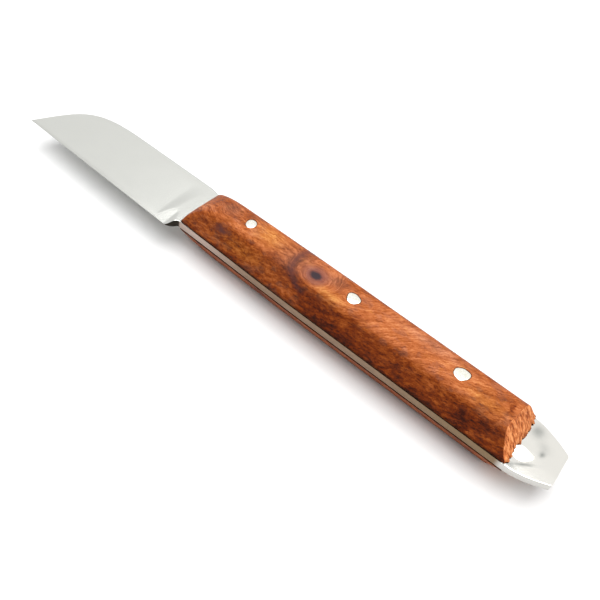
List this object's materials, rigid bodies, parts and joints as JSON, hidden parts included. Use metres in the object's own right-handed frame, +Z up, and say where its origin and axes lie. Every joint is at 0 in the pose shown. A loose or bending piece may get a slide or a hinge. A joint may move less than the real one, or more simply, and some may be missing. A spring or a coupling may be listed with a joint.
{
  "type": "skiving knife",
  "caption": "Small full-tang bench knife with a straight edge, a curved spine and a square pry tail behind riveted wood scales.",
  "frame": {"origin": "bottom centre of the knife's box, with the knife lying on its lower scale", "axes": "+X from the blade's tip to the tail, +Y from the cutting edge to the spine, +Z up through the thickness"},
  "size_m": [0.1748, 0.0198, 0.0162],
  "materials": {
    "blade_steel": "satin, the tail buffed bright",
    "handle_wood": "oiled, figured, orange-brown",
    "pin_metal": "peened and sanded flush"
  },
  "bodies": {
    "root": {"blade_and_tang": "blade_steel", "upper_scale": "handle_wood", "lower_scale": "handle_wood", "front_pin": "pin_metal", "middle_pin": "pin_metal", "rear_pin": "pin_metal"}
  },
  "joints": []
}
